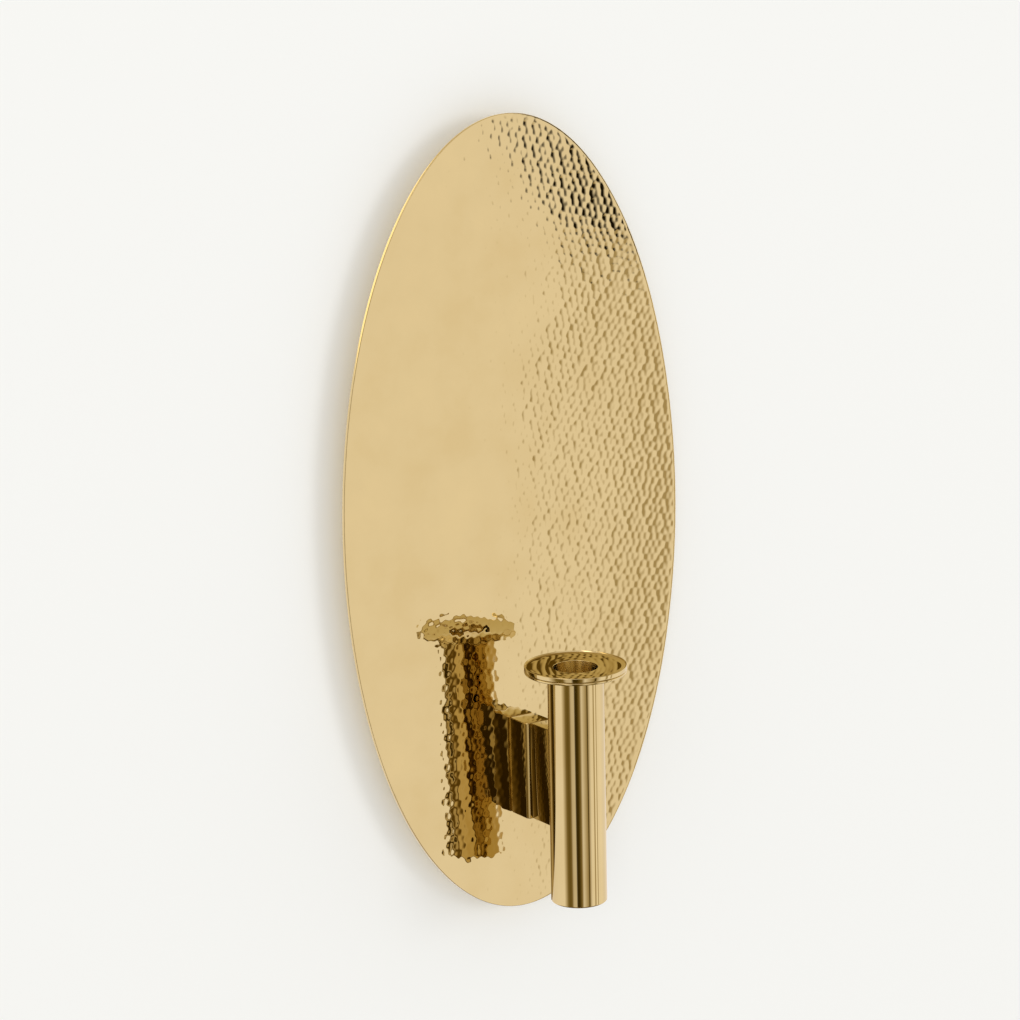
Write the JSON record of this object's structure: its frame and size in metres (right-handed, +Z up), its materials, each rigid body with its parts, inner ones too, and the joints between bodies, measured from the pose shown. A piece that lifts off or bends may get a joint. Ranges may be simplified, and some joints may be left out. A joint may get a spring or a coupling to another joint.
{
  "type": "wall sconce candle holder",
  "caption": "Oval hammered brass wall sconce: reflector plate, rectangular arm, upright tube with a lift-out drip pan and taper candle socket.",
  "frame": {"origin": "on the wall face of the steel hanger bracket behind the plate, midway between its legs and just under its keyhole", "axes": "+Z up, front of the sconce towards -Y, wall plane at y = 0, +X to the right as seen from the front"},
  "size_m": [0.1978, 0.089, 0.4034],
  "materials": {
    "hammered_brass": "hammered and mirror polished",
    "polished_brass": "mirror polished",
    "turned_brass": "satin turned",
    "zinc_steel": "zinc plated",
    "rubber": "matt"
  },
  "bodies": {
    "sconce": {"reflector_plate": "hammered_brass", "arm_base_block": "polished_brass", "arm_bar": "polished_brass", "arm_backing_plate": "zinc_steel", "tie_screw_upper": "zinc_steel", "tie_screw_lower": "zinc_steel", "tie_washer_upper": "zinc_steel", "tie_washer_lower": "zinc_steel", "candle_tube": "polished_brass", "tube_anchor": "turned_brass", "tube_bottom_plug": "turned_brass", "top_flange": "polished_brass", "hanger_bracket": "zinc_steel", "hanger_stud_left": "turned_brass", "hanger_stud_right": "turned_brass", "hanger_washer_left": "zinc_steel", "hanger_washer_right": "zinc_steel", "hanger_nut_left": "zinc_steel", "hanger_nut_right": "zinc_steel", "wall_bumper_left": "rubber", "wall_bumper_right": "rubber"},
    "drip_tray": {"drip_pan": "polished_brass", "candle_socket": "turned_brass"}
  },
  "joints": [
    {"name": "drip_tray_lift", "type": "slide", "parent": "sconce", "child": "drip_tray", "axis": [0, 0, 1], "range_m": [0, 0.035]}
  ]
}
